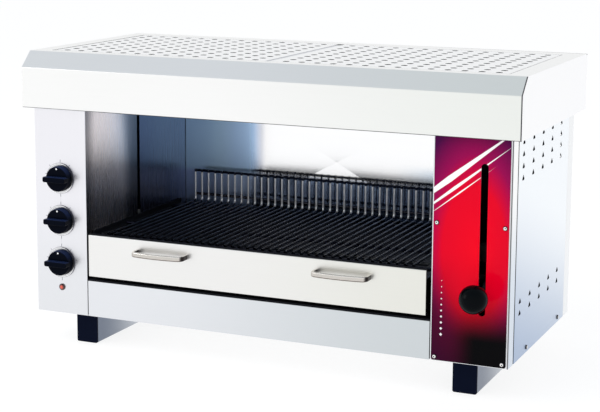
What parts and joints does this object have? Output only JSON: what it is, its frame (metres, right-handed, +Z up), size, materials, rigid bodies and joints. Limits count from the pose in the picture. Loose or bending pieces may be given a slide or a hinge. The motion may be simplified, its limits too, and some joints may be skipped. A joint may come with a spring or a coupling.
{
  "type": "cheese melter",
  "caption": "Countertop salamander grill with an open chamber, heating elements under a raised vented hood, a wire rack raised by a side lever, a drip tray and rotary heat controls.",
  "frame": {"origin": "middle of the footprint of the whole object, on the surface that the feet stand on", "axes": "+X to the right as seen from the front, -Y towards the user, +Z up"},
  "size_m": [0.828, 0.436, 0.482],
  "materials": {
    "satin_steel": "fine satin",
    "vent_steel": "fine satin, perforated",
    "frame_steel": "plain mill finish",
    "mirror_steel": "polished",
    "red_enamel": "high gloss",
    "bright_plating": "bright",
    "heater_tube": "dark oxidised",
    "zinc_steel": "zinc plated",
    "dark_tube": "satin",
    "black_cap": "moulded",
    "black_knob": "moulded, semi gloss",
    "brown_resin": "moulded",
    "spindle_steel": "ground bar",
    "spring_steel": "drawn wire",
    "amber_lens": "clear moulded",
    "rack_wire": "dark plated wire"
  },
  "bodies": {
    "housing": {"base_pan": "frame_steel", "control_front": "satin_steel", "right_front": "satin_steel", "decorated_plate": "red_enamel", "plate_screws": "bright_plating", "lower_front": "satin_steel", "left_cover": "satin_steel", "right_cover": "satin_steel", "cover_screws": "bright_plating", "back_panel": "frame_steel", "hood_shell": "satin_steel", "vent_frame": "frame_steel", "vent_panel_left": "vent_steel", "vent_panel_right": "vent_steel", "chamber_left_wall": "mirror_steel", "chamber_right_wall": "mirror_steel", "chamber_back": "mirror_steel", "chamber_floor": "mirror_steel", "reflector": "mirror_steel", "element_front": "heater_tube", "element_middle": "heater_tube", "element_rear": "heater_tube", "element_hangers": "zinc_steel", "foot_left": "dark_tube", "foot_right": "dark_tube", "foot_caps": "black_cap", "switch_bottom": "brown_resin", "switch_middle": "brown_resin", "switch_top": "brown_resin", "dial_rings": "bright_plating", "pilot_lens": "amber_lens", "pilot_body": "brown_resin", "guide_rod_left": "spindle_steel", "guide_rod_right": "spindle_steel", "guide_brackets": "zinc_steel", "spring_hangers": "zinc_steel", "spring_left": "spring_steel", "spring_right": "spring_steel", "tray_runners": "zinc_steel", "cable_gland": "bright_plating", "terminal_block": "brown_resin"},
    "lift": {"carriage_frame": "zinc_steel", "slider_left": "zinc_steel", "slider_right": "zinc_steel", "lever_arm": "zinc_steel", "ball_knob": "black_knob"},
    "rack": {"rack_grid": "rack_wire", "rack_fence": "rack_wire"},
    "tray": {"tray_front": "satin_steel", "tray_pan": "mirror_steel", "tray_walls": "mirror_steel", "tray_handle_left": "bright_plating", "tray_handle_right": "bright_plating", "handle_screws": "bright_plating"},
    "dial_top": {"knob_top": "black_knob", "spindle_top": "spindle_steel"},
    "dial_middle": {"knob_middle": "black_knob", "spindle_middle": "spindle_steel"},
    "dial_bottom": {"knob_bottom": "black_knob", "spindle_bottom": "spindle_steel"}
  },
  "joints": [
    {"name": "rack_lift", "type": "slide", "parent": "housing", "child": "lift", "axis": [0, 0, 1], "range_m": [0, 0.18], "deforming": ["spring_left", "spring_right"]},
    {"name": "rack_take_out", "type": "slide", "parent": "lift", "child": "rack", "axis": [0, 0, 1], "range_m": [0, 0.01]},
    {"name": "tray_slide", "type": "slide", "parent": "housing", "child": "tray", "axis": [0, -1, 0], "range_m": [0, 0.24]},
    {"name": "turn_bottom", "type": "hinge", "parent": "housing", "child": "dial_bottom", "pos_m": [-0.3525, -0.157, 0.1397], "axis": [0, 1, 0], "range_deg": [0, 270]},
    {"name": "turn_middle", "type": "hinge", "parent": "housing", "child": "dial_middle", "pos_m": [-0.3525, -0.157, 0.2091], "axis": [0, 1, 0], "range_deg": [0, 270]},
    {"name": "turn_top", "type": "hinge", "parent": "housing", "child": "dial_top", "pos_m": [-0.3525, -0.157, 0.2785], "axis": [0, 1, 0], "range_deg": [0, 270]}
  ]
}
